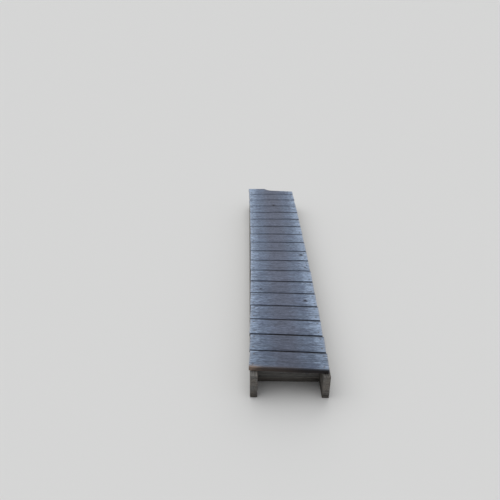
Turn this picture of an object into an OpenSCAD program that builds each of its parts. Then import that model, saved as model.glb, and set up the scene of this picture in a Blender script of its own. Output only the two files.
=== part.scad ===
// A plank footbridge: deck boards laid across two stringers, with blocks
// nailed between the stringers to hold them upright.
// X runs across the bridge, Y along it from the near end to the far end, and
// Z up. The origin is on the floor, under the middle of the bridge.
// All sizes are in millimetres and all angles in degrees.

/* [Deck boards] */
// Number of boards in the deck
board_count = 18; // [6:1:30]
// Length of a board, across the bridge
board_l = 406; // [300:1:700]
// Width of a board, along the bridge
board_w = 140; // [90:1:190]
// Thickness of a board
board_t = 25; // [19:0.5:40]
// Radius of a board's four long edges
board_edge_r = 6; // [2:0.5:9]
// Gap between two boards, in the middle of the deck's width
board_gap = 6; // [5:0.5:15]
// Turn of each board from the one before it, so that the deck fans out
board_fan = 0.33; // [0:0.01:0.5]
// Sideways bow of the deck: how far right of its end boards the middle ones lie
board_bow = 10; // [-15:1:15]
// Furthest that a board is laid to the left or right of that bow
board_stagger = 1; // [0:0.5:5]

/* [Last board, sawn to a curve along its far edge] */
// Distance from the board's left end to where the curve of the cut ends
scribe_x = 236; // [150:1:280]
// Depth of the cut where its curve ends
scribe_depth = 54; // [20:1:70]
// Radius of the curve
scribe_r = 100; // [70:1:120]
// Slope of the straight cut from there to the board's right end
scribe_slope = 7; // [0:0.5:8]

/* [Stringers] */
// Thickness of a stringer, across the bridge
stringer_t = 38; // [30:1:70]
// Depth of a stringer, from the floor to the boards
stringer_h = 140; // [90:1:240]
// Radius of the long edges of the stringers and the blocks
lumber_edge_r = 3; // [1:0.5:6]
// Length of the stringers that shows before the first board
near_reach = 28; // [5:1:60]
// Distance from the stringers' far ends to the last board's far edge
far_setback = 90; // [20:1:120]

/* [Blocks between the stringers] */
// Thickness of a block, along the bridge
block_t = 38; // [30:1:70]
// Distance from a stringer's end to the nearest block
block_setback = 120; // [0:5:300]

/* [Hidden] */
$fn = 48;
deck_grey = [0.47, 0.50, 0.57];
stringer_grey = [0.40, 0.40, 0.41];
block_brown = [0.45, 0.41, 0.35];

last_board = board_count - 1;
board_pitch = board_w + board_gap;
deck_l = board_count * board_pitch - board_gap;
overall_l = near_reach + deck_l;
near_end_y = -overall_l / 2;
deck_start_y = near_end_y + near_reach;
stringer_l = overall_l - far_setback;
stringer_x = (board_l - stringer_t) / 2;
block_l = board_l - 2 * stringer_t;
first_block_y = near_end_y + block_setback + block_t / 2;
last_block_y = near_end_y + stringer_l - block_setback - block_t / 2;
// Turn between the places in the sideways wave of two neighbouring boards
stagger_turn = 137.5;
// How far the cutting shapes reach past the wood that they cut
overcut = 20;

block_names = ["near_block", "middle_block", "far_block"];

// Boards are numbered from the near end, with two digits.
function board_name(i) = str("deck_board_", i < 9 ? "0" : "", i + 1);

// The boards were set by eye, with their gaps a little wider on the right: the
// first board's right end points back, and the last board's points forward.
function board_turn(i) = board_fan * (i - last_board / 2);
function board_shift(i) =
    board_bow * (0.5 - pow(2 * i / last_board - 1, 2)) + board_stagger * sin(stagger_turn * i);
function board_y(i) = deck_start_y + board_w / 2 + i * board_pitch;

// A rectangle with round corners, centred on X and standing on Y = 0.
module eased_profile(w, h, r) {
    translate([-w / 2, r]) square([w, h - 2 * r]);
    translate([-w / 2 + r, 0]) square([w - 2 * r, h]);
    for (x = [-w / 2 + r, w / 2 - r], y = [r, h - r])
        translate([x, y]) circle(r = r);
}

// A length of lumber along X, centred on X and Y and lying on Z = 0.
module lumber(l, w, h, r) {
    rotate([90, 0, 90])
        linear_extrude(height = l, center = true)
            eased_profile(w, h, r);
}

// What is sawn off the last board: a curve in from its far edge, then a
// straight cut, which carries on from the curve to the board's right end.
module scribe_cut() {
    cut_h = board_t + 2 * overcut;
    centre = [-board_l / 2 + scribe_x, board_w / 2 - scribe_depth + scribe_r];
    translate([centre[0], centre[1], -overcut]) {
        cylinder(r = scribe_r, h = cut_h, $fn = 96);
        rotate([0, 0, -scribe_slope])
            translate([0, -scribe_r, 0]) cube([board_l, 2 * scribe_r, cut_h]);
    }
}

module deck_board(i) {
    color(deck_grey)
        translate([board_shift(i), board_y(i), stringer_h])
            rotate([0, 0, board_turn(i)])
                difference() {
                    lumber(board_l, board_w, board_t, board_edge_r);
                    if (i == last_board) scribe_cut();
                }
}

// side is -1 for the left stringer and 1 for the right one.
module stringer(side) {
    color(stringer_grey)
        translate([side * stringer_x, near_end_y + stringer_l / 2, 0])
            rotate([0, 0, 90])
                lumber(stringer_l, stringer_t, stringer_h, lumber_edge_r);
}

// place runs from 0 at the near block to 1 at the far one.
module block(place) {
    color(block_brown)
        translate([0, first_block_y + place * (last_block_y - first_block_y), 0])
            lumber(block_l, block_t, stringer_h, lumber_edge_r);
}

for (i = [0 : last_board])
    deck_board(i);
stringer(-1);  // left_stringer
stringer(1);  // right_stringer
for (i = [0 : 2])
    block(i / 2);
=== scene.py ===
# %% [markdown]
# # A weathered plank footbridge
#
# The real bridge is eighteen deck boards laid across two stringers, with blocks between them.
# Years of rain and sun have turned its pine silver-grey, and feet have worn a darker, browner track
# along the middle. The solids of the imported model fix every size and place. This file gives each
# timber the relief that weather carves into wood, and a finish to match. The first step loads the
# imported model.

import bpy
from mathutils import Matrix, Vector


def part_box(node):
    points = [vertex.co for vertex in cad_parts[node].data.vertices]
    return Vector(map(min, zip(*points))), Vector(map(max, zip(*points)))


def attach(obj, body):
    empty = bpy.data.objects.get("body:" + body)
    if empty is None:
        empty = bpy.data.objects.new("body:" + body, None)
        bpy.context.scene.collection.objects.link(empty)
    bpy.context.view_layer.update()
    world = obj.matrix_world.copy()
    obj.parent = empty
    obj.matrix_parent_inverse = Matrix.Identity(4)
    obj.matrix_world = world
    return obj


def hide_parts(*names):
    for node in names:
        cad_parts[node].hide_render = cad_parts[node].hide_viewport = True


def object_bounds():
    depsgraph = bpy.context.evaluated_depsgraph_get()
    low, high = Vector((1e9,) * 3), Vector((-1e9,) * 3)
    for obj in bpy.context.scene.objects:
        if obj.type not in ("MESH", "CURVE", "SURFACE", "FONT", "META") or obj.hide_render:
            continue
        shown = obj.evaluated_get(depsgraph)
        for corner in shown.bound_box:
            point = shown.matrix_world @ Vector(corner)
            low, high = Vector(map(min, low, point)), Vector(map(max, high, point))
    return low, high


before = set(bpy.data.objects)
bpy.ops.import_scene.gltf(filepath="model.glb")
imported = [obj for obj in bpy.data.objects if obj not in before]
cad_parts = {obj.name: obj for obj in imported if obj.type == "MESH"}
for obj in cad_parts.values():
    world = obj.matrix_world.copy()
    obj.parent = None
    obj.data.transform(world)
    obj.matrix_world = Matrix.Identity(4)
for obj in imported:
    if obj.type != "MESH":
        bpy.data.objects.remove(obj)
cad_low, cad_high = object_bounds()
print("packed nodes:", len(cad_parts), "size in m:", [round(s, 3) for s in cad_high - cad_low])

# %% [markdown]
# ## Tools used all through the file
#
# Blender's materials and its Geometry Nodes are both node trees, so one helper builds both. It adds
# a node, applies its settings, and fills or links its inputs. A node handed over as an input stands
# for its first output, which keeps a chain of nodes short. A function that makes nodes is handed
# `add`, which is this helper with its node tree filled in. Lengths are in metres.

# %% Imports and the node helper
import math
import random
from functools import partial

import bpy
from mathutils import Matrix, Vector

NOISE = "ShaderNodeTexNoise"
MAP_RANGE = "ShaderNodeMapRange"
MIX = "ShaderNodeMix"
JOIN_XYZ = "ShaderNodeCombineXYZ"
SPLIT_XYZ = "ShaderNodeSeparateXYZ"
SMOOTH = {"interpolation_type": "SMOOTHSTEP"}
# Nearly all the values of a noise texture lie between these two.
NOISE_SPAN = (0.3, 0.7)


def add_node(tree, kind, inputs=(), **settings):
    """Adds a node. inputs are a list in the order of its sockets, or a dict by socket name.

    A kind in capitals is an operation of the maths node, or of the vector maths node.
    """
    if kind.isupper():
        vector, _, settings["operation"] = kind.rpartition(" ")
        kind = "ShaderNodeVectorMath" if vector else "ShaderNodeMath"
    node = tree.nodes.new(kind)
    for name, value in settings.items():
        setattr(node, name, value)
    live = [socket for socket in node.inputs if socket.enabled]
    named = {socket.name: socket for socket in reversed(live)}
    for key, given in inputs.items() if isinstance(inputs, dict) else enumerate(inputs):
        socket = named[key] if isinstance(key, str) else live[key]
        for value in given if socket.is_multi_input else [given]:
            if isinstance(value, bpy.types.Node):
                value = next(out for out in value.outputs if out.enabled)
            if isinstance(value, bpy.types.NodeSocket):
                tree.links.new(value, socket)
            else:
                socket.default_value = value
    return node


def emptied(owner):
    """Empties the node tree of a material or a world, and returns the helper that fills it."""
    owner.use_nodes = True
    owner.node_tree.nodes.clear()
    return partial(add_node, owner.node_tree)


def in_scene(name, data):
    """A new object in the scene."""
    thing = bpy.data.objects.new(name, data)
    bpy.context.scene.collection.objects.link(thing)
    return thing


def colour(sheet_hex):
    """Turns an sRGB hex colour to the linear values that a shader takes."""
    parts = [int(sheet_hex[i : i + 2], 16) / 255 for i in (1, 3, 5)]
    return [p / 12.92 if p <= 0.04045 else ((p + 0.055) / 1.055) ** 2.4 for p in parts] + [1.0]


# %% [markdown]
# ## Camera
#
# The bridge was photographed from its near end, a little left of the middle, from eye height down
# along the deck. A camera fitted to the deck's two sides and to its seventeen gaps gives the place
# and direction below. The field of view is that of a phone.

# %% Camera
PHOTO_SIDE_PX = 500
FOCAL_LENGTH_PX = 515
SENSOR_MM = 36
EYE = (-0.2339, -3.3356, 1.8615)
EYE_TURN_DEG = (63.184, -0.858, -0.114)
FURTHEST_SEEN = 500

camera_data = bpy.data.cameras.new("photo_view")
camera_data.sensor_width = SENSOR_MM
camera_data.lens = SENSOR_MM * FOCAL_LENGTH_PX / PHOTO_SIDE_PX
camera_data.clip_end = FURTHEST_SEEN
camera = in_scene("photo_view", camera_data)
camera.location = EYE
camera.rotation_euler = [math.radians(a) for a in EYE_TURN_DEG]
bpy.context.scene.camera = camera
print("lens in mm:", round(camera_data.lens, 2))

# %% [markdown]
# ## Floor, light and background
#
# A pale paper floor carries the bridge's shadow. It is clear from below, so that the underside can
# be looked at too. The light is one wide soft lamp overhead, a weaker one low behind the far end,
# which grazes the deck as low daylight does, and an even world. A faint lamp from below passes
# through the floor and shows the underside. Sun lamps with a wide angle are as soft as panels, and
# they light the whole floor alike.

# %% Floor
FLOOR_SIZE = 260.0
FLOOR_COLOUR = "#DCDBD8"


def pale_floor():
    """A square of paper that is clear from below, and that lets the lamp below shine through."""
    bpy.ops.mesh.primitive_plane_add(size=FLOOR_SIZE)
    floor = bpy.context.object
    floor.name = "floor"
    material = bpy.data.materials.new("studio_paper")
    add = emptied(material)
    paper = add("ShaderNodeBsdfDiffuse", {"Color": colour(FLOOR_COLOUR)})
    clear = add("ShaderNodeBsdfTransparent")
    below = add("ShaderNodeNewGeometry").outputs["Backfacing"]
    shadow = add("ShaderNodeLightPath").outputs["Is Shadow Ray"]
    passes = add("MAXIMUM", [below, shadow])
    surface = add("ShaderNodeMixShader", [passes, paper, clear])
    add("ShaderNodeOutputMaterial", {"Surface": surface})
    floor.data.materials.append(material)


pale_floor()

# %% Lamps and world
WORLD_STRENGTH = 0.5
WORLD_COLOUR = "#F1F4FA"
BACKGROUND_COLOUR = "#D5D5D5"
# Where each lamp shines from, how wide it is in degrees, and its strength
LAMPS = {
    "overhead": ((-0.35, 0.25, 1.0), 80, 1.35),
    "far_end": ((0.2, 1.0, 0.42), 50, 0.8),
    "from_below": ((0.1, 0.1, -1.0), 120, 0.6),
}


def soft_lamp(name, direction, width_deg, strength):
    """A sun lamp as wide as a panel, shining from a direction towards the bridge."""
    light = bpy.data.lights.new(name, "SUN")
    light.angle = math.radians(width_deg)
    light.energy = strength
    lamp = in_scene(name, light)
    lamp.rotation_euler = (-Vector(direction)).to_track_quat("-Z", "Y").to_euler()


def even_world():
    """Even light for the bridge, and a pale background for the camera and for reflections."""
    world = bpy.data.worlds.new("studio")
    bpy.context.scene.world = world
    add = emptied(world)
    light = add("ShaderNodeBackground", [colour(WORLD_COLOUR), WORLD_STRENGTH])
    seen = add("ShaderNodeBackground", [colour(BACKGROUND_COLOUR), 1.0])
    ray = add("ShaderNodeLightPath").outputs
    direct = ray["Is Camera Ray"]
    for kind in ("Is Glossy Ray", "Is Transmission Ray"):
        direct = add("MAXIMUM", [direct, ray[kind]])
    surface = add("ShaderNodeMixShader", [direct, light, seen])
    add("ShaderNodeOutputWorld", {"Surface": surface})


for name, settings in LAMPS.items():
    soft_lamp(name, *settings)
even_world()
bpy.context.scene.view_settings.view_transform = "Standard"
print("lamps:", list(LAMPS))

# %% [markdown]
# ## Where each timber lies
#
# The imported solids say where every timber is, so nothing is placed by hand. Each timber gets its
# own axes: x along its length, y across its wide face and z through its thickness. A board's turn
# out of square is read off its left end face, which the cut on the last board doesn't touch.

# %% Read the timbers' places
BOARD_SIZE = (0.406, 0.140, 0.025)
# A face of a board's left end has a normal that points further left than this.
LEFT_END_NORMAL_X = -0.9
STRINGERS = {"left_stringer": -1, "right_stringer": 1}
BLOCKS = ("near_block", "middle_block", "far_block")


def board_place(node):
    """The matrix from a deck board's own axes to the bridge's."""
    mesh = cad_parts[node].data
    faces = [p for p in mesh.polygons if p.normal.x < LEFT_END_NORMAL_X]
    normal = sum((p.normal * p.area for p in faces), Vector()).normalized()
    turn = Matrix.Rotation(math.atan2(-normal.y, -normal.x), 4, "Z")
    points = [turn.inverted() @ mesh.vertices[v].co for p in faces for v in p.vertices]
    low, high = [Vector(map(pick, zip(*points))) for pick in (min, max)]
    centre = turn @ ((low + high) / 2 + Vector((BOARD_SIZE[0] / 2, 0, 0)))
    return Matrix.Translation(centre) @ turn


def lumber_place(node, turn_deg):
    """The matrix and the size of a stringer or a block, which stands on its narrow edge."""
    low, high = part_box(node)
    wide, deep, tall = high - low
    length, thickness = (deep, wide) if turn_deg else (wide, deep)
    turn = Matrix.Rotation(math.radians(turn_deg), 4, "Z") @ Matrix.Rotation(math.pi / 2, 4, "X")
    return Matrix.Translation((low + high) / 2) @ turn, (length, tall, thickness)


board_names = sorted(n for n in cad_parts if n.startswith("deck_board"))
timbers = {name: (board_place(name), BOARD_SIZE) for name in board_names}
for name in STRINGERS:
    timbers[name] = lumber_place(name, 90)
for name in BLOCKS:
    timbers[name] = lumber_place(name, 0)
print("boards:", len(board_names), "timbers in all:", len(timbers))

# %% [markdown]
# ## Where the screws and nails go
#
# Two screws hold each board to each stringer, and three nails through each stringer's side hold
# each block. Nobody drives them in a perfect row, so each one is moved a little by a seeded random
# number. Their places are worked out before the wood is made, because the wood sinks and stains
# around them.

# %% Places of the fasteners
SEED = 11
SCREW_FROM_END = 0.0215
SCREW_ROWS = (-0.043, 0.043)
SCREW_ROWS_LAST_BOARD = (-0.052, -0.026)
SCREW_SCATTER = 0.0014
NAIL_ROWS = (-0.042, 0.002, 0.044)
NAIL_SCATTER = 0.002

chance = random.Random(SEED)


def scattered(x, y, z, spread):
    return Vector((x + chance.gauss(0, spread), y + chance.gauss(0, spread), z))


driven = {name: [] for name in timbers}
for name in board_names:
    rows = SCREW_ROWS_LAST_BOARD if name == board_names[-1] else SCREW_ROWS
    for side in (-1, 1):
        x = side * (BOARD_SIZE[0] / 2 - SCREW_FROM_END)
        driven[name] += [scattered(x, y, BOARD_SIZE[2] / 2, SCREW_SCATTER) for y in rows]
for name, side in STRINGERS.items():
    place, size = timbers[name]
    for block in BLOCKS:
        x = (place.inverted() @ timbers[block][0].translation).x
        driven[name] += [scattered(x, y, side * size[2] / 2, NAIL_SCATTER) for y in NAIL_ROWS]
print("screws and nails:", sum(len(points) for points in driven.values()))

# %% [markdown]
# ## One recipe for every timber
#
# All the timbers are sawn softwood, so one Geometry Nodes tree makes them all, and only its inputs
# change. It starts from a box whose grid lines run with the grain. Then it rounds the long edges,
# eases the ends, cups the board, and lets the weather eat into the surface. One timber could be
# sculpted by hand. Nodes suit twenty-three better: each step is one rule for the whole surface, and
# no two timbers come out alike.

# %% The recipe's inputs
SIZES = ("Length", "Width", "Thickness")
LINES = ("Lines Along", "Lines Across", "Lines Through")
KNOTS = ("Knot One", "Knot Two")
TIMBER_INPUTS = {
    "Float": (
        *SIZES, "Edge Radius", "End Radius", "Edge Wear", "Cup", "Bow", "Scribe From End",
        "Scribe Depth", "Scribe Radius", "Scribe Slope", "Ring Width", "Ring Relief",
        "Fibre Relief", "Check Depth", "Check Length", "Check Share", "Seed",
    ),
    "Int": LINES,
    "Vector": ("Pith", *KNOTS),
    "Object": ("Fasteners",),
    "Material": ("Material",),
}


def new_tree(name, inputs):
    """A Geometry Nodes tree, the helper that fills it, and its named inputs as sockets."""
    tree = bpy.data.node_groups.new(name, "GeometryNodeTree")
    for kind, names in inputs.items():
        for socket in names:
            tree.interface.new_socket(socket, in_out="INPUT", socket_type="NodeSocket" + kind)
    tree.interface.new_socket("Geometry", in_out="OUTPUT", socket_type="NodeSocketGeometry")
    add = partial(add_node, tree)
    return tree, add, add("NodeGroupInput").outputs


def finish_tree(add, given, geometry):
    """Makes instances real, sets the material and hands over the result."""
    real = add("GeometryNodeRealizeInstances", [geometry])
    done = add("GeometryNodeSetMaterial", {"Geometry": real, "Material": given["Material"]})
    add("NodeGroupOutput", [done])


# %% [markdown]
# ### The blank
#
# The blank is a box of grid lines. Its fine detail is near the ends, where wood splits and where
# the screws are, so the lines crowd together there. The last board is sawn along its far edge, in a
# curve and then a straight line, to fit its place. The saw here is a cylinder and a box that are
# taken away from the blank.

# %% Blank and scribed cut
END_CROWDING = 0.4
SAW_REACH = 0.1
CURVE_POINTS = 96


def size_of(add, given):
    return add(JOIN_XYZ, [given[name] for name in SIZES])


def squared_share(add, position, size):
    """0 in a timber's middle, and a quarter at its faces, along each axis."""
    share = add("VECTOR DIVIDE", [position, size])
    return add("VECTOR MULTIPLY", [share, share])


def blank(add, given):
    """A box of grid lines that run with the grain and crowd towards the ends."""
    size = size_of(add, given)
    box = add("GeometryNodeMeshCube", [size, *(given[name] for name in LINES)])
    position = add("GeometryNodeInputPosition")
    along = add(SPLIT_XYZ, [squared_share(add, position, size)]).outputs["X"]
    stretch = add("MULTIPLY_ADD", [along, -4 * END_CROWDING, 1 + END_CROWDING])
    stretch = add(JOIN_XYZ, [stretch, 1.0, 1.0])
    spread = add("VECTOR MULTIPLY", [position, stretch])
    return add("GeometryNodeSetPosition", {"Geometry": box.outputs["Mesh"], "Position": spread})


def scribed(add, given, timber):
    """Saws a curve in from the far edge and a straight line to the right end, if it has depth."""
    radius, length = given["Scribe Radius"], given["Length"]
    round_saw = {"Vertices": CURVE_POINTS, "Radius": radius, "Depth": SAW_REACH}
    disc = add("GeometryNodeMeshCylinder", round_saw)
    across = add("MULTIPLY", [radius, 2.0])
    slab = add("GeometryNodeMeshCube", {"Size": add(JOIN_XYZ, [length, across, SAW_REACH])})
    half = add("MULTIPLY", [length, 0.5])
    slab = add("GeometryNodeTransform", {"Geometry": slab, "Translation": add(JOIN_XYZ, [half])})
    x = add("SUBTRACT", [given["Scribe From End"], half])
    y = add("MULTIPLY_ADD", [given["Width"], 0.5, radius])
    y = add("SUBTRACT", [y, given["Scribe Depth"]])
    slope = add("MULTIPLY", [given["Scribe Slope"], -1.0])
    moved = {"Translation": add(JOIN_XYZ, [x, y]), "Rotation": add(JOIN_XYZ, {"Z": slope})}
    saws = [add("GeometryNodeTransform", {"Geometry": part, **moved}) for part in (disc, slab)]
    solids = {"Mesh 1": timber, "Mesh 2": saws}
    cut = add("GeometryNodeMeshBoolean", solids, operation="DIFFERENCE", solver="MANIFOLD")
    wanted = add("FunctionNodeCompare", [given["Scribe Depth"], 0.0], operation="GREATER_THAN")
    return add("GeometryNodeSwitch", [wanted, timber, cut], input_type="GEOMETRY")


# %% [markdown]
# ### Growth rings and what else the wood remembers
#
# A sawn face cuts through the wood's growth rings. Each point's ring number is its distance from
# the pith, which is the rings' centre, divided by the width of a ring. The pith wanders along the
# timber, and that draws the long arches of flat-sawn boards. Rings also bend round knots. The mesh
# keeps these numbers as attributes, so that relief and colour agree with each other.

# %% Attributes
ATTRIBUTES = {
    "grain": "FLOAT_VECTOR",
    "ring": "FLOAT",
    "marks": "FLOAT_VECTOR",
    "tint": "FLOAT_VECTOR",
    "check": "FLOAT",
}
PITH_WANDER = 0.1
PITH_WAVES_PER_M = 2.6
# Rings bend round a knot, out to this many of its radii.
KNOT_BEND_REACH = 3.5
KNOT_BEND_RINGS = 1.6


def stored(add, timber, values):
    for name, value in values.items():
        inputs = {"Geometry": timber, "Name": name, "Value": value}
        timber = add("GeometryNodeStoreNamedAttribute", inputs, data_type=ATTRIBUTES[name])
    return timber


def remembered(add, given, timber):
    """Stores grain, ring, marks (knot share, distance to a fastener and to an end) and tint."""
    grain = add("GeometryNodeInputPosition")
    x, y, z = add(SPLIT_XYZ, [grain]).outputs
    along = add(JOIN_XYZ, [x])
    waves = {"Vector": along, "W": given["Seed"], "Scale": PITH_WAVES_PER_M, "Detail": 1.5}
    wander = add(NOISE, waves, noise_dimensions="4D").outputs["Color"]
    centred = add("VECTOR SUBTRACT", [wander, (0.5, 0.5, 0.5)])
    drift = add("VECTOR MULTIPLY", [centred, (0.0, PITH_WANDER, PITH_WANDER)])
    pith = add("VECTOR ADD", [given["Pith"], drift])
    out = add("VECTOR DISTANCE", [add(JOIN_XYZ, [0.0, y, z]), pith])
    ring = add("DIVIDE", [out, given["Ring Width"]])
    shares = []
    for knot in KNOTS:
        knot_x, knot_y, radius = add(SPLIT_XYZ, [given[knot]]).outputs
        centre = add(JOIN_XYZ, [knot_x, knot_y])
        away = add("VECTOR DISTANCE", [add(JOIN_XYZ, [x, y]), centre])
        share = add("DIVIDE", [away, radius])
        bend = add(MAP_RANGE, [share, 0.0, KNOT_BEND_REACH, KNOT_BEND_RINGS, 0.0], **SMOOTH)
        ring = add("ADD", [ring, bend])
        shares.append(share)
    heads = add("GeometryNodeObjectInfo", [given["Fasteners"]]).outputs["Geometry"]
    near = add("GeometryNodeProximity", {"Geometry": heads}, target_element="POINTS")
    iron = near.outputs["Distance"]
    marks = add(JOIN_XYZ, [add("MINIMUM", shares), iron, distance_from_end(add, given, x)])
    key = add(JOIN_XYZ, [given["Seed"]])
    tint = add("ShaderNodeTexWhiteNoise", [key], noise_dimensions="3D").outputs["Color"]
    return stored(add, timber, {"grain": grain, "ring": ring, "marks": marks, "tint": tint})


# %% [markdown]
# ### Rounded edges, eased ends, cup and bow
#
# Deck boards come from the mill with rounded long edges, and feet and frost wear them unevenly.
# Each point near an edge is pulled onto an arc whose radius varies along the board. As a board
# dries from the top its edges lift, which is cup, and it bends a little sideways, which is bow.

# %% Form
WEAR_WAVES_PER_M = 16.0


def formed(add, given, timber):
    """Pulls the long edges onto a radius, eases the ends, and cups and bows the board."""
    position = add("GeometryNodeInputPosition")
    x = add(SPLIT_XYZ, [position]).outputs["X"]
    waves = {"Vector": position, "W": given["Seed"], "Scale": WEAR_WAVES_PER_M, "Detail": 3.0}
    wave = add(NOISE, waves, noise_dimensions="4D")
    wear = add("MULTIPLY_ADD", [wave, given["Edge Wear"], 1.0])
    radius = add("MULTIPLY", [given["Edge Radius"], wear])
    size = size_of(add, given)
    # The core is longer than the timber, so that only the long edges are rounded here.
    trim = add(JOIN_XYZ, [-1.0, radius, radius])
    core = add("VECTOR SUBTRACT", [add("VECTOR SCALE", [size, 0.5]), trim])
    inner = add("VECTOR MINIMUM", [position, core])
    inner = add("VECTOR MAXIMUM", [inner, add("VECTOR SCALE", [core, -1.0])])
    outward = add("VECTOR SUBTRACT", [position, inner])
    keep = add("DIVIDE", [radius, add("VECTOR LENGTH", [outward])])
    rounded = add("VECTOR SCALE", [outward, add("MINIMUM", [keep, 1.0])])
    rounded = add("VECTOR ADD", [inner, rounded])
    rounded = add("VECTOR MULTIPLY", [rounded, end_easing(add, given, x)])
    length_share, width_share, _ = add(SPLIT_XYZ, [squared_share(add, position, size)]).outputs
    bow = add("MULTIPLY", [length_share, given["Bow"]])
    cup = add("MULTIPLY", [width_share, given["Cup"]])
    bent = add("VECTOR ADD", [rounded, add(JOIN_XYZ, [0.0, bow, cup])])
    return add("GeometryNodeSetPosition", {"Geometry": timber, "Position": bent})


def end_easing(add, given, x):
    """The factors that shrink the cross-section on the last millimetres before an end."""
    radius = given["End Radius"]
    into = add("SUBTRACT", [radius, distance_from_end(add, given, x)])
    into = add("MAXIMUM", [into, 0.0])
    squares = [add("MULTIPLY", [side, side]) for side in (radius, into)]
    drop = add("SUBTRACT", [add("SQRT", [add("SUBTRACT", squares)]), radius])
    drop = add("MULTIPLY", [drop, 2.0])
    shrinks = [add("DIVIDE", [drop, given[side]]) for side in ("Width", "Thickness")]
    return add("VECTOR ADD", [add(JOIN_XYZ, [0.0, *shrinks]), (1, 1, 1)])


def distance_from_end(add, given, x):
    """How far a point is from the nearer end of its timber."""
    half = add("MULTIPLY", [given["Length"], 0.5])
    return add("SUBTRACT", [half, add("ABSOLUTE", [x])])


# %% [markdown]
# ### Checks
#
# Checks are the splits that open from the ends as timber dries. They follow the grain, so here
# each one lies on one line of the grid. A random number for each line says whether it splits, and
# others say how far in and how deep. The lines beside a split are drawn towards it, which makes it
# narrower than the grid.

# %% Checks
# Powers make most checks short, and bring their depth and pull on soon after their inner end.
SHORT_POWER = 2.5
SHORTEST = 0.15
SHALLOWEST = 0.35
TAPER_POWER = 0.6
PINCH_POWER = 0.25
# No line splits closer than this to a long edge.
CHECK_FREE_EDGE = 0.011


def line_check(add, given, line, side, from_end, share):
    """How deep a point lies in a line's check, and how hard the lines beside it are drawn to it."""
    key = add(JOIN_XYZ, [line, side, given["Seed"]])
    rolls = add("ShaderNodeTexWhiteNoise", [key], noise_dimensions="3D").outputs["Color"]
    roll_split, roll_length, roll_depth = add(SPLIT_XYZ, [rolls]).outputs
    reach = add(MAP_RANGE, [add("POWER", [roll_length, SHORT_POWER]), 0, 1, SHORTEST, 1.0])
    reach = add("MULTIPLY", [reach, given["Check Length"]])
    inside = add(MAP_RANGE, [from_end, 0.0, reach, 1.0, 0.0])
    opened = add("MULTIPLY", [inside, add("LESS_THAN", [roll_split, share])])
    depth = add(MAP_RANGE, [roll_depth, 0, 1, SHALLOWEST, 1.0])
    depth = add("MULTIPLY", [add("POWER", [opened, TAPER_POWER]), depth])
    return depth, add("POWER", [opened, PINCH_POWER])


def end_checks(add, given, x, y):
    """How far open a point's check is, and its pull towards a check on the line beside it."""
    cells = add("SUBTRACT", [given["Lines Across"], 1.0])
    cell = add("DIVIDE", [given["Width"], cells])
    line = add("ROUND", [add("DIVIDE", [y, cell])])
    half = add("MULTIPLY_ADD", [given["Width"], 0.5, -CHECK_FREE_EDGE])
    clear = add("LESS_THAN", [add("ABSOLUTE", [y]), half])
    share = add("MULTIPLY", [given["Check Share"], clear])
    side = add("SIGN", [x])
    from_end = distance_from_end(add, given, x)
    before, here, after = [
        line_check(add, given, add("ADD", [line, step]), side, from_end, share)
        for step in (-1.0, 0.0, 1.0)
    ]
    pull = add("SUBTRACT", [after[1], before[1]])
    return here[0], add("MULTIPLY", [pull, add("MULTIPLY", [cell, 0.5])])


# %% [markdown]
# ### Weather
#
# Rain and sun take the soft early wood first and leave the hard late wood as ridges, so the surface
# sinks by its ring number. Finer ridges follow the fibres. Knots are harder than the wood round
# them and stand proud, and each screw's head has crushed a shallow dish.

# %% Relief
FIBRE_WAVES_PER_M = (3.0, 260.0, 260.0)
PIT_WAVES_PER_M = (22.0, 90.0, 90.0)
LATE_WOOD_POWER = 3.0
KNOT_RISE = 0.0009
# In radii of the knot
KNOT_RISE_SPAN = (0.4, 1.6)
DISH_RADIUS = 0.0085
DISH_FLOOR_SHARE = 0.4
DISH_DEPTH = 0.0009


def weathered(add, given, timber):
    """Sinks the surface along its normal, and opens the end checks."""
    grain, ring, marks = [
        add("GeometryNodeInputNamedAttribute", [name], data_type=ATTRIBUTES[name])
        for name in ("grain", "ring", "marks")
    ]
    x, y, _ = add(SPLIT_XYZ, [grain]).outputs
    knot, iron, _ = add(SPLIT_XYZ, [marks]).outputs
    late = add("POWER", [add("FRACT", [ring]), LATE_WOOD_POWER])
    early = add("SUBTRACT", [1.0, late])
    eaten = add("MULTIPLY", [early, given["Ring Relief"]])
    for waves in (FIBRE_WAVES_PER_M, PIT_WAVES_PER_M):
        stretched = add("VECTOR MULTIPLY", [grain, waves])
        inputs = {"Vector": stretched, "W": given["Seed"], "Scale": 1.0}
        ridge = add(MAP_RANGE, [add(NOISE, inputs, noise_dimensions="4D"), *NOISE_SPAN, 0.0, 1.0])
        eaten = add("MULTIPLY_ADD", [ridge, given["Fibre Relief"], eaten])
    rise = add(MAP_RANGE, [knot, *KNOT_RISE_SPAN, -KNOT_RISE, 0.0], **SMOOTH)
    dish_floor = DISH_RADIUS * DISH_FLOOR_SHARE
    dish = add(MAP_RANGE, [iron, dish_floor, DISH_RADIUS, DISH_DEPTH, 0.0], **SMOOTH)
    open_share, pull = end_checks(add, given, x, y)
    timber = stored(add, timber, {"check": open_share})
    depth = add("MULTIPLY", [open_share, given["Check Depth"]])
    for more in (rise, dish, depth):
        eaten = add("ADD", [eaten, more])
    inward = add("MULTIPLY", [eaten, -1.0])
    sink = add("VECTOR SCALE", [add("GeometryNodeInputNormal"), inward])
    offset = add("VECTOR ADD", [sink, add(JOIN_XYZ, [0.0, pull, 0.0])])
    return add("GeometryNodeSetPosition", {"Geometry": timber, "Offset": offset})


# %% The whole recipe
CREASE_RAD = 0.7


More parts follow.
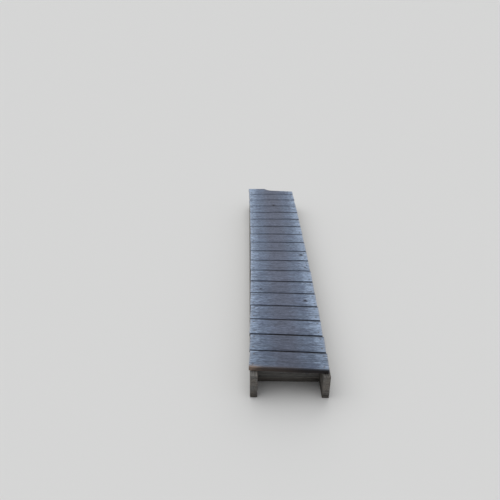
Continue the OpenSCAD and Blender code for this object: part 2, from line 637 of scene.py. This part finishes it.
def timber_tree():
    tree, add, given = new_tree("weathered_timber", TIMBER_INPUTS)
    timber = scribed(add, given, blank(add, given))
    for step in (remembered, formed, weathered):
        timber = step(add, given, timber)
    smooth = add("GeometryNodeSetShadeSmooth", [timber, True, True])
    bend = add("GeometryNodeInputMeshEdgeAngle").outputs["Unsigned Angle"]
    crease = add("FunctionNodeCompare", [bend, CREASE_RAD], operation="GREATER_THAN")
    sharp = add("GeometryNodeSetShadeSmooth", [smooth, crease, False], domain="EDGE")
    finish_tree(add, given, sharp)
    return tree


TIMBER = timber_tree()
print("nodes in the timber recipe:", len(TIMBER.nodes))

# %% [markdown]
# ## From a recipe to a plain mesh
#
# A finished piece is a plain mesh that stands in the bridge's own frame. So the recipe runs as a
# modifier on an empty object, the result is copied out as a mesh, and the mesh is moved to its
# place. The empty object is thrown away.

# %% Run a recipe
def made_by(tree, name, values, place=Matrix.Identity(4)):
    """Runs a Geometry Nodes tree with these inputs, and returns its mesh as a placed object."""
    carrier = in_scene("carrier", bpy.data.meshes.new("carrier"))
    modifier = carrier.modifiers.new(tree.name, "NODES")
    modifier.node_group = tree
    identifiers = {s.name: s.identifier for s in tree.interface.items_tree if s.in_out == "INPUT"}
    for socket, value in values.items():
        modifier[identifiers[socket]] = value
    graph = bpy.context.evaluated_depsgraph_get()
    mesh = bpy.data.meshes.new_from_object(
        carrier.evaluated_get(graph), preserve_all_data_layers=True, depsgraph=graph
    )
    bpy.data.objects.remove(carrier)
    mesh.name = name
    mesh.transform(place)
    return in_scene(name, mesh)


def point_object(name, points):
    """Loose points that a recipe reads, such as the places of the screws."""
    mesh = bpy.data.meshes.new(name)
    mesh.from_pydata([tuple(p) for p in points], [], [])
    return in_scene(name, mesh)


# %% [markdown]
# ## Weathered pine
#
# Sunlight breaks down the brown lignin in pine and rain washes it out, which leaves a skin of
# silver-grey fibres. On the deck, feet rub that skin off the middle, where the wood stays browner.
# The ends stay the palest and the bluest. Old pine is rough and almost without gloss, so light
# spreads evenly over it. Its colour is the work here: broad streaks along the grain, thin dark late
# wood, dark pores and cracks, and stains round knots and steel.

# %% What the wood material reads
# A timber's random tint, from 0 to 1, moves its patterns by up to this many waves.
TINT_SHIFT = 9.0


def wood_facts(add):
    """The numbers that each timber's mesh carries, and each point's place, as sockets."""
    facts = {"place": add("ShaderNodeTexCoord").outputs["Object"]}
    for name, kind in ATTRIBUTES.items():
        output = "Fac" if kind == "FLOAT" else "Vector"
        facts[name] = add("ShaderNodeAttribute", attribute_name=name).outputs[output]
    facts.update(zip(("x", "y", "z"), add(SPLIT_XYZ, [facts["grain"]]).outputs))
    facts.update(zip(("knot", "iron", "from_end"), add(SPLIT_XYZ, [facts["marks"]]).outputs))
    return facts


def streaks(add, facts, waves, low, high, detail=2.0):
    """Noise drawn out along the grain, mapped to a range. waves are counted for each metre."""
    shifted = add("VECTOR SCALE", [facts["tint"], TINT_SHIFT])
    stretched = add("VECTOR MULTIPLY_ADD", [facts["grain"], waves, shifted])
    noise = add(NOISE, {"Vector": stretched, "Scale": 1.0, "Detail": detail})
    return add(MAP_RANGE, [noise, *NOISE_SPAN, low, high])


def ragged(add, facts, value, waves, most):
    """Moves a value by up to most either way, in streaks, so that a border comes out ragged."""
    return add("ADD", [value, streaks(add, facts, waves, -most, most)])


def painted(add, base, coats):
    """Lays coats over a base. A coat is a mask, and the colour that shows where the mask is 1."""
    for mask, sheet_hex in coats:
        base = add(MIX, [mask, base, colour(sheet_hex)], data_type="RGBA")
    return base


# %% Colours of the decking
DECK = {
    "silver": "#636D81",
    "cool": "#6C798C",
    "worn": "#5F6575",
    "ends": "#94A4BA",
    # rim is bleached wood and a painted highlight.
    "rim": "#A8B1C0",
    "end_grain": "#7C7A79",
    "underside": "#7A7268",
    # The long edges' colour is painted shade.
    "edge": "#262324",
    "bare": "#8F7D70",
}
PATCH_WAVES = (9.0, 26.0, 26.0)
# Blotches about 20 mm long and 7 mm wide
MOTTLE_WAVES = (50.0, 150.0, 150.0)
# The waves in the worn track's border, and their swing
TRACK_BORDERS = (((14.0, 60.0, 60.0), 0.018), (MOTTLE_WAVES, 0.016))
# How far the track's middle lies left of the bridge's, at the near end and at the far end
TRACK_SHIFT = (0.012, -0.004)
# A fade is two places, and how strongly a colour shows at each.
TRACK_FADE = (0.03, 0.12, 1.0, 0.0)
PALE_FADE = (0.118, 0.203, 0.0, 1.0)
# The last millimetres before each end are paler: bleached wood, and a painted highlight where the
# end catches the light.
END_RIM_BLEACH_AND_HIGHLIGHT_FADE = (0.003, 0.013, 0.7, 0.0)
END_GRAIN_FADE = (0.0, 0.0008, 1.0, 0.0)
# It reaches 2 mm up the long edges.
UNDERSIDE_SPAN = (-BOARD_SIZE[2] / 2, -0.0105)
# The near end is darker: painted shade.
NEAR_END_SHADE = 0.68
NEAR_END_SHADE_LENGTH = 0.4


def decking_colour(add, facts):
    """The board's colour before grain and stains, from its worn middle to its end grain, with
    painted shade over the near end.
    """
    across, along, _ = add(SPLIT_XYZ, [facts["place"]]).outputs
    shift = add(MAP_RANGE, [along, cad_low.y, cad_high.y, *TRACK_SHIFT])
    out = add("ABSOLUTE", [add("ADD", [across, shift])])
    for waves, most in TRACK_BORDERS:
        out = ragged(add, facts, out, waves, most)
    base = painted(add, colour(DECK["silver"]), [
        (streaks(add, facts, PATCH_WAVES, 0.0, 1.0), DECK["cool"]),
        (add(MAP_RANGE, [out, *TRACK_FADE], **SMOOTH), DECK["worn"]),
        (add(MAP_RANGE, [out, *PALE_FADE], **SMOOTH), DECK["ends"]),
        (add(MAP_RANGE, [facts["from_end"], *END_RIM_BLEACH_AND_HIGHLIGHT_FADE]), DECK["rim"]),
        (add(MAP_RANGE, [facts["from_end"], *END_GRAIN_FADE]), DECK["end_grain"]),
        (add(MAP_RANGE, [facts["z"], *UNDERSIDE_SPAN, 1.0, 0.0]), DECK["underside"]),
    ])
    # Painted shade darkens the deck's first part, from the near end.
    near_shade = add(MAP_RANGE, [along, cad_low.y, cad_low.y + NEAR_END_SHADE_LENGTH, NEAR_END_SHADE, 1.0])
    return add("VECTOR SCALE", [base, near_shade])


# %% [markdown]
# The long edges of a board face each other across narrow gaps, and they are painted nearly black:
# this is painted shade, for the shade that falls in the gaps. Two edges face no gap. The last
# board's far edge is painted only dark grey. On the first board's front edge, at its left, the grey
# skin has gone and the wood's own tan shows.

# %% Long edges of the decking
# Depths below the top face at which the painted shade of a long edge starts, and is full
DARK_DEPTHS = (0.0004, 0.003)
# At a board's front edge, where y is negative, the painted shade starts up to 2 mm lower, as the
# front rim catches the light.
FRONT_RIM_FADE = (-0.067, -0.062, 0.002, 0.0)
# At its back edge the painted shade reaches onto the top face, and further at the right end.
BACK_RIM_FADE = (0.058, 0.067, 0.0, 0.75)
WIDER_RIM_FADE = (0.05, 0.2, 0.0, 0.004)
NOT_END_FADE = (0.0, 0.003, 0.0, 1.0)
# How near the bridge's ends the first board's front half and the last board's far edge lie
END_REACH = 0.1
SHARP_STEP = 0.001
FAR_EDGE_STEP = 0.01
# The share of the painted shade that the last board's far edge keeps, so that it is dark grey
FAR_EDGE_DARKNESS = 0.6
# The first board's front edge: painted shade on its rim, bare tan wood, and a faint brown beyond it
FRONT_RIM_SHADE_FADE = (-0.057, -0.064, 0.0, 0.85)
FRONT_FADE = (-0.04, -0.064, 0.0, 1.0)
TAN_FADE = (-0.19, -0.12, 0.8, 0.0)
BROWN_FADE = (-0.15, 0.08, 0.18, 0.0)
BARE_WAVES = (16.0, 60.0, 160.0)
BARE_SWING = 0.02


def painted_edge_shade_and_bare_front(add, facts, base):
    """Paints shade onto the long edges, and bares the left part of the first board's front edge."""
    below = add("ADD", [facts["z"], add(MAP_RANGE, [facts["y"], *FRONT_RIM_FADE])])
    levels = [BOARD_SIZE[2] / 2 - depth for depth in DARK_DEPTHS]
    down = add(MAP_RANGE, [below, *levels, 0.0, 1.0], **SMOOTH)
    back = add("ADD", [facts["y"], add(MAP_RANGE, [facts["x"], *WIDER_RIM_FADE])])
    back_rim_shade = add(MAP_RANGE, [back, *BACK_RIM_FADE])
    x, y, _ = add(SPLIT_XYZ, [facts["place"]]).outputs
    first_end = cad_low.y + END_REACH
    first = add(MAP_RANGE, [y, first_end, first_end - SHARP_STEP, 0.0, 1.0])
    front_rim_shade = add("MULTIPLY", [add(MAP_RANGE, [facts["y"], *FRONT_RIM_SHADE_FADE]), first])
    for rim in (back_rim_shade, front_rim_shade):
        down = add("MAXIMUM", [down, rim])
    not_under = add(MAP_RANGE, [facts["z"], *UNDERSIDE_SPAN, 0.0, 1.0])
    not_end = add(MAP_RANGE, [facts["from_end"], *NOT_END_FADE])
    far = cad_high.y - END_REACH
    not_far = add(MAP_RANGE, [y, far, far + FAR_EDGE_STEP, 1.0, FAR_EDGE_DARKNESS])
    for elsewhere in (not_under, not_end, not_far):
        down = add("MULTIPLY", [down, elsewhere])
    left = ragged(add, facts, x, BARE_WAVES, BARE_SWING)
    bare = add("MAXIMUM", [add(MAP_RANGE, [left, *fade]) for fade in (TAN_FADE, BROWN_FADE)])
    for only in (first, add(MAP_RANGE, [facts["y"], *FRONT_FADE])):
        bare = add("MULTIPLY", [bare, only])
    # The long edges get painted shade; bare is the wood's own tan.
    return painted(add, base, [(down, DECK["edge"]), (bare, DECK["bare"])])


# %% [markdown]
# The stringers and blocks lie under the deck, out of the sun. Their pine is a darker grey-brown,
# partly its own colour and partly painted shade, and rain that splashes up has left the lowest part
# darker still.

# %% Colours of the framing
# The framing's greys are partly painted shade, for the shade under the deck.
FRAME_WOOD = {"dry": "#716B64", "cool": "#6A6A68", "damp": "#4D4944"}
FRAME_PATCH_WAVES = (5.0, 22.0, 22.0)
SPLASH_WAVES = (7.0, 14.0, 14.0)
SPLASH_SWING = 0.01
SPLASH_FADE = (0.0, 0.06, 0.9, 0.0)


def framing_colour(add, facts):
    """Grey-brown wood darkened in part by painted shade, with a dark band where rain splashes up.
    """
    height = add(SPLIT_XYZ, [facts["place"]]).outputs["Z"]
    height = ragged(add, facts, height, SPLASH_WAVES, SPLASH_SWING)
    return painted(add, colour(FRAME_WOOD["dry"]), [
        (streaks(add, facts, FRAME_PATCH_WAVES, 0.0, 1.0), FRAME_WOOD["cool"]),
        (add(MAP_RANGE, [height, *SPLASH_FADE], **SMOOTH), FRAME_WOOD["damp"]),
    ])


# %% [markdown]
# Both woods share the rest: growth rings, fibres, knots with grey halos, dark stains round steel,
# gloss and bump. Real fibres are a tenth of a millimetre wide, too fine to show, so they are drawn
# about 1 mm wide.

# %% Grain
CRACK_COLOUR = "#242226"
FIBRE_WAVES = (9.0, 900.0, 900.0)
STREAK_WAVES = (6.0, 170.0, 170.0)
CRACK_WAVES = (7.0, 330.0, 330.0)
# The factors on the colour at the two ends of each pattern's range
FIBRE_SHADES = (0.8, 1.18)
MOTTLE_SHADES = (0.77, 1.23)
LATE_WOOD_SHADES = (1.04, 0.84)
TIMBER_SHADES = (0.93, 1.07)
# Late wood sets in slowly over a year's growth, and ends at once.
LATE_WOOD_START = (0.55, 0.92, 0.0, 1.0)
LATE_WOOD_END = (0.92, 1.0, 1.0, 0.0)
# Only the highest noise is a crack, and end grain has none.
CRACK_RANGE = (-5.0, 1.2)
CRACK_FADE = (0.0, 0.002, 0.0, 0.6)
CHECK_FADE = (0.0, 0.4, 0.0, 0.9)


def grained(add, facts, base, streak_shades):
    """Adds the patterns that follow the grain."""
    factor = streaks(add, facts, STREAK_WAVES, *streak_shades)
    for waves, shades in ((FIBRE_WAVES, FIBRE_SHADES), (MOTTLE_WAVES, MOTTLE_SHADES)):
        factor = add("MULTIPLY", [factor, streaks(add, facts, waves, *shades)])
    year = add("FRACT", [facts["ring"]])
    late = add(MAP_RANGE, [year, *LATE_WOOD_START], **SMOOTH)
    late = add("MULTIPLY", [late, add(MAP_RANGE, [year, *LATE_WOOD_END])])
    timber = add(SPLIT_XYZ, [facts["tint"]])
    for value, shades in ((late, LATE_WOOD_SHADES), (timber, TIMBER_SHADES)):
        shade = add(MAP_RANGE, [value, 0.0, 1.0, *shades])
        factor = add("MULTIPLY", [factor, shade])
    base = add("VECTOR SCALE", [base, factor])
    crack = streaks(add, facts, CRACK_WAVES, *CRACK_RANGE, detail=1.0)
    side_grain = add(MAP_RANGE, [facts["from_end"], *CRACK_FADE])
    crack = add("MULTIPLY", [crack, side_grain], use_clamp=True)
    crack = add("MAXIMUM", [crack, add(MAP_RANGE, [facts["check"], *CHECK_FADE])])
    return painted(add, base, [(crack, CRACK_COLOUR)])


# %% Knots and stains
KNOT_COLOUR = "#2A2B34"
HALO_COLOUR = "#454853"
STAIN_COLOUR = "#34343C"
KNOT_WAVES = (120.0, 220.0, 220.0)
BLOT_WAVES = (60.0, 200.0, 200.0)
# In radii of the knot, and then in metres from a fastener
KNOT_SWING = 0.25
HALO_FADE = (0.9, 2.2, 0.55, 0.0)
KNOT_FADE = (0.75, 1.05, 0.9, 0.0)
BLOT_SWING = 0.003
STAIN_FADE = (0.004, 0.008, 0.35, 0.0)


def stained(add, facts, base):
    """Adds knots, and the dark marks that steel leaves in wet pine."""
    knot = ragged(add, facts, facts["knot"], KNOT_WAVES, KNOT_SWING)
    iron = ragged(add, facts, facts["iron"], BLOT_WAVES, BLOT_SWING)
    return painted(add, base, [
        (add(MAP_RANGE, [knot, *HALO_FADE], **SMOOTH), HALO_COLOUR),
        (add(MAP_RANGE, [knot, *KNOT_FADE]), KNOT_COLOUR),
        (add(MAP_RANGE, [iron, *STAIN_FADE], **SMOOTH), STAIN_COLOUR),
    ])


# %% The two wood materials
WOOD_IOR = 1.5
# Loose grey fibres scatter light, so this wood mirrors less than solid wood does.
LOOSE_FIBRE_SPECULAR = 0.15
BUMP_MM = 0.25
CRACK_DROP = (5.0, -1.5)


def wood(name, base_of, streak_shades, roughness, waves_share=1.0, finish_of=None):
    """A weathered wood. A waves_share under 1 draws its patterns out longer along the grain."""
    material = bpy.data.materials.new(name)
    add = emptied(material)
    facts = wood_facts(add)
    facts["grain"] = add("VECTOR MULTIPLY", [facts["grain"], (waves_share, 1.0, 1.0)])
    base = grained(add, facts, base_of(add, facts), streak_shades)
    base = stained(add, facts, base)
    if finish_of:
        base = finish_of(add, facts, base)
    fibre = streaks(add, facts, FIBRE_WAVES, 0.0, 1.0)
    crack = streaks(add, facts, CRACK_WAVES, *CRACK_DROP, detail=1.0)
    height = add("ADD", [fibre, add("MINIMUM", [crack, 0.0])])
    bump = add("ShaderNodeBump", {"Height": height, "Distance": BUMP_MM / 1000})
    rough = streaks(add, facts, STREAK_WAVES, *roughness)
    surface = add("ShaderNodeBsdfPrincipled", {
        "Base Color": base, "Roughness": rough, "IOR": WOOD_IOR, "Normal": bump,
        "Specular IOR Level": LOOSE_FIBRE_SPECULAR,
    })
    add("ShaderNodeOutputMaterial", {"Surface": surface})
    return material


# Silvered pine, sun-bleached and foot-worn: rough, so it has only a faint sheen at low angles.
decking_wood = wood(
    "weathered_pine_decking", decking_colour,
    streak_shades=(0.79, 1.21), roughness=(0.62, 0.85), finish_of=painted_edge_shade_and_bare_front,
)
# Rough-sawn pine in the shade: no gloss at all, and a browner grey.
framing_wood = wood(
    "weathered_pine_framing", framing_colour,
    streak_shades=(0.84, 1.16), roughness=(0.8, 0.95), waves_share=0.35,
)
print("wood materials:", decking_wood.name, framing_wood.name)

# %% [markdown]
# ## The deck boards
#
# Each board draws its own numbers: where the pith lay, how wide its rings are, how much it has
# cupped, and where its splits run. The knots that show on the real deck are listed by board. The
# others get a small knot in some places, or none.

# %% Make a timber
# The one fastener that a timber without any gets, out of reach
FAR_AWAY = (9.0, 9.0, 9.0)


def make_timber(name, lines, seed, material, values):
    """Runs the timber recipe for one board, stringer or block."""
    place, size = timbers[name]
    heads = point_object("heads", driven[name] or [FAR_AWAY])
    values = {
        **dict(zip(SIZES, size)), **dict(zip(LINES, lines)),
        "Fasteners": heads, "Seed": float(seed), "Material": material, **values,
    }
    timber = made_by(TIMBER, name + "_weathered", values, place)
    bpy.data.objects.remove(heads)
    return timber


# %% Make the boards
BOARD_LINES = (57, 113, 9)
# Wear adds to the radius of the long edges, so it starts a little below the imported 6 mm.
BOARD_RADII = {"Edge Radius": 0.006 * 0.85, "End Radius": 0.0016}
SCRIBE = {
    "Scribe From End": 0.236,
    "Scribe Depth": 0.054,
    "Scribe Radius": 0.100,
    "Scribe Slope": math.radians(7),
}
# A knot is its place on the board, along and across, and its radius.
NO_KNOT = (9.0, 9.0, 0.01)
SEEN_KNOTS = {
    "deck_board_16": [(0.008, -0.058, 0.013)],
    "deck_board_09": [(0.160, 0.012, 0.012)],
    "deck_board_08": [(0.171, -0.028, 0.006), (0.186, 0.008, 0.005)],
    "deck_board_06": [(-0.136, -0.030, 0.007)],
    "deck_board_05": [(0.134, -0.012, 0.011)],
}
# The seed of the first board's random numbers, from which the other boards count up
BOARD_DRAWS = 1100
SMALL_KNOT_SHARE = 0.3
SMALL_KNOT = ((-0.17, 0.17), (-0.05, 0.05), (0.003, 0.005))
FORM_RANGES = {"Edge Wear": (0.15, 0.4), "Cup": (0.001, 0.004), "Bow": (-0.003, 0.003)}
SIDE_SAWN_SHARE = 0.25
SIDE_SAWN_PITH = ((0.07, 0.11), (-0.03, 0.03))
FLAT_SAWN_PITH = ((-0.035, 0.035), (0.035, 0.075))
WEATHER_RANGES = {
    "Ring Width": (0.0042, 0.0062),
    "Ring Relief": (0.0003, 0.0006),
    "Fibre Relief": (0.0001, 0.00025),
    "Check Depth": (0.003, 0.006),
    "Check Length": (0.04, 0.12),
    "Check Share": (0.04, 0.12),
}


def drawn_pith(draw):
    """Most boards are flat-sawn, with the pith below. One in four is sawn off to the side."""
    if draw.random() < SIDE_SAWN_SHARE:
        aside, level = SIDE_SAWN_PITH
        return (0.0, draw.choice((-1, 1)) * draw.uniform(*aside), draw.uniform(*level))
    aside, below = FLAT_SAWN_PITH
    return (0.0, draw.uniform(*aside), -draw.uniform(*below))


def make_board(name, index):
    draw = random.Random(BOARD_DRAWS + index)
    knots = SEEN_KNOTS.get(name, [])
    if not knots and draw.random() < SMALL_KNOT_SHARE:
        knots = [tuple(draw.uniform(*span) for span in SMALL_KNOT)]
    values = dict(zip(KNOTS, knots + [NO_KNOT, NO_KNOT])) | BOARD_RADII
    values |= {socket: draw.uniform(*span) for socket, span in FORM_RANGES.items()}
    values["Pith"] = drawn_pith(draw)
    values |= {socket: draw.uniform(*span) for socket, span in WEATHER_RANGES.items()}
    values |= SCRIBE if name == board_names[-1] else {}
    return make_timber(name, BOARD_LINES, index + 1, decking_wood, values)


pieces = {name: make_board(name, index) for index, name in enumerate(board_names)}
print("boards made:", len(pieces), "faces in one:", len(pieces[board_names[0]].data.polygons))

# %% [markdown]
# ## Stringers and blocks
#
# The framing comes from the same recipe. It is thicker and less rounded than the decking, and it
# keeps deeper checks, because thick timber dries unevenly.

# %% Make the framing
FRAMING_LINES = {"stringer": (141, 91, 25), "block": (41, 81, 21)}
FRAMING = {
    "Edge Radius": 0.003, "End Radius": 0.001, "Edge Wear": 0.6,
    "Ring Width": 0.006, "Ring Relief": 0.0005, "Fibre Relief": 0.0003,
    "Check Depth": 0.007, "Check Length": 0.16, "Check Share": 0.09,
}
FRAMING_PITH = ((-0.02, 0.02), (0.03, 0.06))
# A knot lies at a share of the length, and at a place across.
FRAMING_KNOT_RADII = (0.012, 0.009)
FRAMING_KNOT_PLACES = ((-0.4, 0.4), (-0.04, 0.04))
FRAMING_DRAWS = 1150
FRAMING_SEED = 40


def make_framing(name, index):
    draw = random.Random(FRAMING_DRAWS + index)
    aside, away = FRAMING_PITH
    pith = (0.0, draw.uniform(*aside), draw.choice((-1, 1)) * draw.uniform(*away))
    values = FRAMING | {"Pith": pith}
    length = timbers[name][1][0]
    along, across = FRAMING_KNOT_PLACES
    for knot, radius in zip(KNOTS, FRAMING_KNOT_RADII):
        values[knot] = (draw.uniform(*along) * length, draw.uniform(*across), radius)
    lines = FRAMING_LINES[name.split("_")[1]]
    return make_timber(name, lines, index + FRAMING_SEED, framing_wood, values)


for index, name in enumerate((*STRINGERS, *BLOCKS)):
    pieces[name] = make_framing(name, index)
print("timbers made:", len(pieces))

# %% [markdown]
# ## Screws and nails
#
# Deck screws are hot-dip galvanised. They have a flat head with a cross recess, and sit in the dish
# that they have crushed into the wood. The nails have plain round heads. One recipe makes both: a
# short cylinder whose top is shaped by rules, set on each point and given a random turn.

# %% The fastener recipe
FASTENER_INPUTS = {
    "Object": ("Points",),
    "Float": ("Head Radius", "Head Height", "Dome", "Recess Depth", "Recess Swing"),
    "Int": ("Seed",),
    "Material": ("Material",),
}
# Points round a head, and rings on its side and on its faces
HEAD_GRID = (16, 1, 5)
RECESS_ARMS = 4
# The arms and the depth of the recess, by the share of the head's radius
SWING_FADE = (0.5, 0.75, 1.0, 0.0)
RECESS_FADE = (0.25, 0.45, 1.0, 0.0)


def head_shape(add, given):
    """A short cylinder whose top has a dome or a cross recess."""
    radius = given["Head Radius"]
    head = add("GeometryNodeMeshCylinder", [*HEAD_GRID, radius, given["Head Height"]])
    x, y, z = add(SPLIT_XYZ, [add("GeometryNodeInputPosition")]).outputs
    flat = add(JOIN_XYZ, [x, y])
    share = add("DIVIDE", [add("VECTOR LENGTH", [flat]), radius])
    angle = add("MULTIPLY", [add("ARCTAN2", [y, x]), RECESS_ARMS])
    swing = add("MULTIPLY", [add("COSINE", [angle]), add(MAP_RANGE, [share, *SWING_FADE])])
    swing = add("MULTIPLY_ADD", [swing, given["Recess Swing"], 1.0])
    sunk = add("MULTIPLY", [add(MAP_RANGE, [share, *RECESS_FADE]), given["Recess Depth"]])
    domed = add("SUBTRACT", [1.0, add("MULTIPLY", [share, share])])
    domed = add("MULTIPLY", [domed, given["Dome"]])
    change = add("SUBTRACT", [domed, sunk])
    change = add("MULTIPLY", [change, add("GREATER_THAN", [z, 0.0])])
    raised = add(JOIN_XYZ, {"Z": add("ADD", [z, change])})
    shaped = add("VECTOR ADD", [add("VECTOR SCALE", [flat, swing]), raised])
    return add("GeometryNodeSetPosition", {"Geometry": head.outputs["Mesh"], "Position": shaped})


def fastener_tree():
    tree, add, given = new_tree("driven_fasteners", FASTENER_INPUTS)
    seats = add("GeometryNodeObjectInfo", [given["Points"]]).outputs["Geometry"]
    facing = add("GeometryNodeInputNamedAttribute", ["facing"], data_type="FLOAT_VECTOR")
    upright = add("FunctionNodeAlignRotationToVector", {"Vector": facing}, axis="Z")
    half_turn = {"Min": 0.0, "Max": math.pi, "Seed": given["Seed"]}
    spin = add("FunctionNodeRandomValue", half_turn, data_type="FLOAT")
    spin = add("FunctionNodeAxisAngleToRotation", [(0, 0, 1), spin])
    turned = add("FunctionNodeRotateRotation", [upright, spin], rotation_space="LOCAL")
    placed = {"Points": seats, "Instance": head_shape(add, given), "Rotation": turned}
    finish_tree(add, given, add("GeometryNodeInstanceOnPoints", placed))
    return tree


FASTENER = fastener_tree()
print("nodes in the fastener recipe:", len(FASTENER.nodes))

# %% [markdown]
# Hot-dip galvanising leaves a dull grey skin of zinc, mottled by its crystals. Where the driver has
# scraped it and where rain stays longest, rust comes through in small brown spots.

# %% Galvanised steel
ZINC = {"light": "#7C8084", "dark": "#5A5D60", "rust": "#5B3A25"}
SPANGLE_PER_M = 900.0
RUST_PER_M = 420.0
RUST_RANGE = (0.5, 0.6, 0.0, 1.0)
# Values on clean zinc and on rust
METALLIC = (0.85, 0.0)
STEEL_ROUGHNESS = (0.5, 0.9)
STEEL_BUMP = 0.0001


def galvanised_steel():
    """Dull zinc on steel: a metal, but too rough to mirror anything."""
    material = bpy.data.materials.new("galvanised_steel")
    add = emptied(material)
    place = add("ShaderNodeTexCoord").outputs["Object"]
    crystals = add("ShaderNodeTexVoronoi", {"Vector": place, "Scale": SPANGLE_PER_M})
    mottle = add(SPLIT_XYZ, [crystals.outputs["Color"]]).outputs["X"]
    noise = add(NOISE, {"Vector": place, "Scale": RUST_PER_M, "Detail": 4.0})
    rusty = add(MAP_RANGE, [noise, *RUST_RANGE])
    base = painted(add, colour(ZINC["dark"]), [(mottle, ZINC["light"]), (rusty, ZINC["rust"])])
    metal = add(MAP_RANGE, [rusty, 0.0, 1.0, *METALLIC])
    rough = add(MAP_RANGE, [rusty, 0.0, 1.0, *STEEL_ROUGHNESS])
    bump = add("ShaderNodeBump", {"Height": noise, "Distance": STEEL_BUMP})
    surface = add("ShaderNodeBsdfPrincipled", {
        "Base Color": base, "Metallic": metal, "Roughness": rough, "Normal": bump,
    })
    add("ShaderNodeOutputMaterial", {"Surface": surface})
    return material


steel = galvanised_steel()
print("metal:", steel.name)

# %% Drive the screws and nails
SCREW_HEAD = {
    "Head Radius": 0.0042, "Head Height": 0.003, "Recess Depth": 0.0016, "Recess Swing": 0.4,
}
NAIL_HEAD = {"Head Radius": 0.0046, "Head Height": 0.0016, "Dome": 0.0004}
SCREW_SINK = 0.0022
NAIL_SINK = 0.0008


def drive(name, names, head, sink, seed):
    """Makes the fasteners in some timbers as one piece, each facing out of its timber."""
    points, facings = [], []
    for timber in names:
        place = timbers[timber][0]
        for point in driven[timber]:
            facing = (place.to_3x3() @ Vector((0, 0, math.copysign(1, point.z)))).normalized()
            points.append(place @ point - facing * sink)
            facings.extend(facing)
    seats = point_object("seats", points)
    seats.data.attributes.new("facing", "FLOAT_VECTOR", "POINT").data.foreach_set("vector", facings)
    piece = made_by(FASTENER, name, {**head, "Points": seats, "Seed": seed, "Material": steel})
    bpy.data.objects.remove(seats)
    return piece


screws = drive("deck_screws", board_names, SCREW_HEAD, SCREW_SINK, SEED)
nails = drive("block_nails", STRINGERS, NAIL_HEAD, NAIL_SINK, SEED + 1)
print("faces in screws and nails:", len(screws.data.polygons), len(nails.data.polygons))

# %% [markdown]
# ## Join the pieces to the imported model
#
# Each made timber stands for the imported solid of the same name, which still does the colliding.
# Nothing moves, so every piece rides on the one body.

# %% Ride and replace
for name, piece in pieces.items():
    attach(piece, "root")
    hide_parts(name)
for piece in (screws, nails):
    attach(piece, "root")
